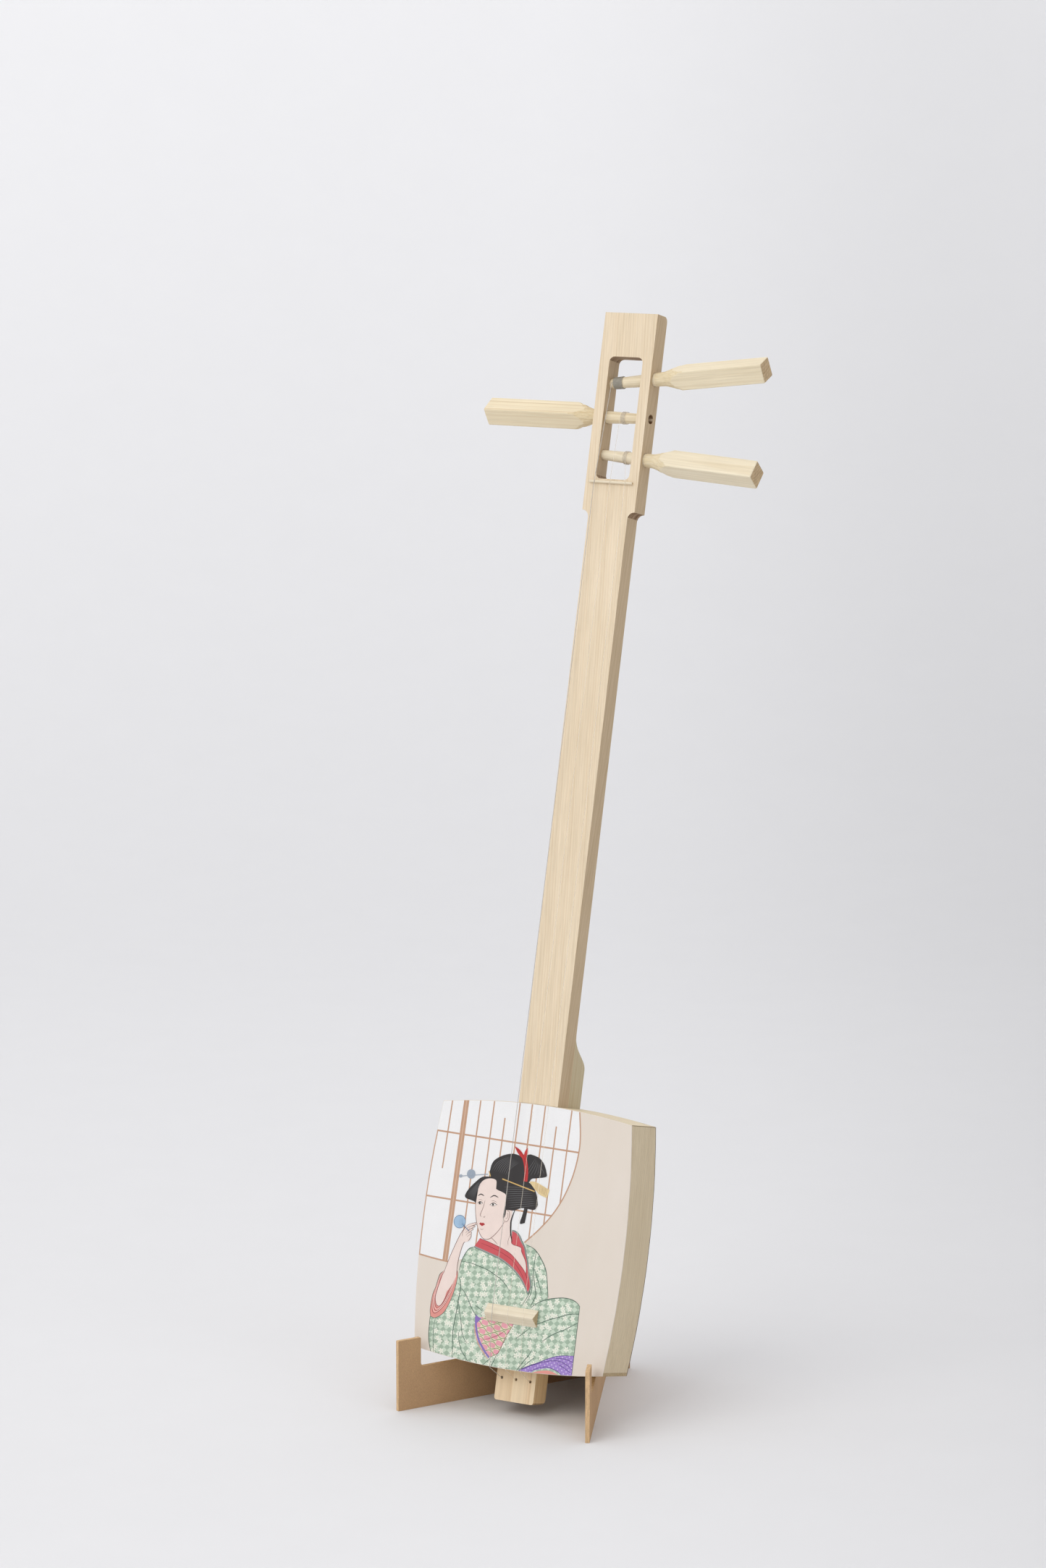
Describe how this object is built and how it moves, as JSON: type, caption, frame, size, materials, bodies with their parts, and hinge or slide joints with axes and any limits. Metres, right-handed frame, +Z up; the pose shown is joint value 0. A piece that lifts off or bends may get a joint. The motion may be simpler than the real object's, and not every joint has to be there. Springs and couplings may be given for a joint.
{
  "type": "shamisen",
  "caption": "Small wooden lute with a square skinned body, long straight neck, friction pegs and strings, leaning in a crossed-panel stand.",
  "frame": {"origin": "floor level, where the two stand panels cross", "axes": "+Z up, the instrument faces -Y and leans back towards +Y, +X to the viewer's right"},
  "size_m": [0.1779, 0.1677, 0.6141],
  "materials": {
    "neck_wood": "pale straight-grained softwood, sanded",
    "block_wood": "pale pine with wide growth bands, sanded",
    "body_wood": "pale fine-grained softwood, sanded",
    "peg_wood": "very pale softwood, knife cut",
    "skin_paper": "matt synthetic paper, printed in front",
    "string_grey": "grey twisted nylon",
    "string_clear": "translucent nylon",
    "fibreboard": "raw medium density fibreboard, 2.5 mm"
  },
  "bodies": {
    "stand": {"stand_left_panel": "fibreboard", "stand_right_panel": "fibreboard"},
    "instrument": {"neck_board": "neck_wood", "heel_block": "block_wood", "body_top_board": "body_wood", "body_bottom_board": "body_wood", "body_left_board": "body_wood", "body_right_board": "body_wood", "front_skin": "skin_paper", "back_skin": "skin_paper", "nut": "peg_wood", "string_1": "string_grey", "string_2": "string_clear", "string_3": "string_clear"},
    "upper_peg": {"peg_upper": "peg_wood", "winding_1": "string_grey"},
    "middle_peg": {"peg_middle": "peg_wood", "winding_2": "string_clear"},
    "lower_peg": {"peg_lower": "peg_wood", "winding_3": "string_clear"},
    "bridge": {"bridge": "peg_wood"}
  },
  "joints": [
    {"name": "lift_out_of_stand", "type": "slide", "parent": "stand", "child": "instrument", "axis": [0, 0.2317, 0.9728], "range_m": [0, 0.12]},
    {"name": "upper_peg_turn", "type": "hinge", "parent": "instrument", "child": "upper_peg", "pos_m": [0, 0.02426, 0.57505], "axis": [0.9927, 0.028, 0.1177], "continuous": true},
    {"name": "middle_peg_turn", "type": "hinge", "parent": "instrument", "child": "middle_peg", "pos_m": [0, 0.01949, 0.55502], "axis": [-1, 0, 0], "continuous": true},
    {"name": "lower_peg_turn", "type": "hinge", "parent": "instrument", "child": "lower_peg", "pos_m": [0, 0.01432, 0.53332], "axis": [0.9979, -0.015, -0.0628], "continuous": true},
    {"name": "bridge_slide", "type": "slide", "parent": "instrument", "child": "bridge", "axis": [0, 0.2317, 0.9728], "range_m": [-0.001, 0.02]}
  ]
}
